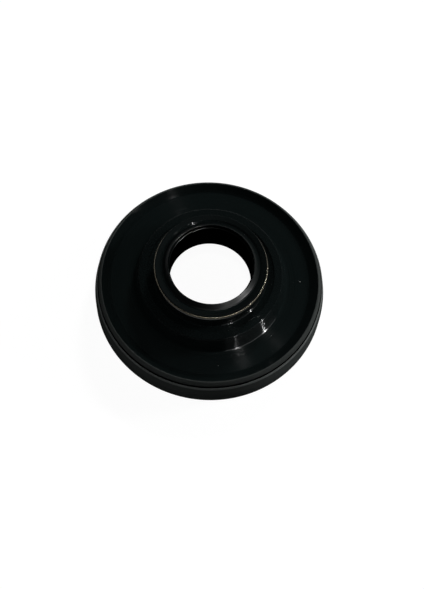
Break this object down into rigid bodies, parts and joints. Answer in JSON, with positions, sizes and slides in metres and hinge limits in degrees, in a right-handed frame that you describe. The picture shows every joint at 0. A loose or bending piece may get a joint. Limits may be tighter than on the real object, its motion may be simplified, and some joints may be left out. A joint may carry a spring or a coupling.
{
  "type": "drum shaft seal",
  "caption": "Round rubber shaft seal with a grooved rim that presses into a housing, a stepped hub and sprung lips that close on a turning drum shaft.",
  "frame": {"origin": "centre of the seal's flat back, on its axis", "axes": "+Z along the seal's axis, from its back towards its collar"},
  "size_m": [0.066, 0.066, 0.0207],
  "materials": {
    "nitrile_rubber": "smooth black moulded nitrile rubber with a low gloss",
    "case_steel": "pressed mild steel, matt grey",
    "spring_steel": "bright stainless spring wire"
  },
  "bodies": {
    "root": {"rubber_body": "nitrile_rubber", "case_ring": "case_steel", "garter_spring": "spring_steel"}
  },
  "joints": []
}
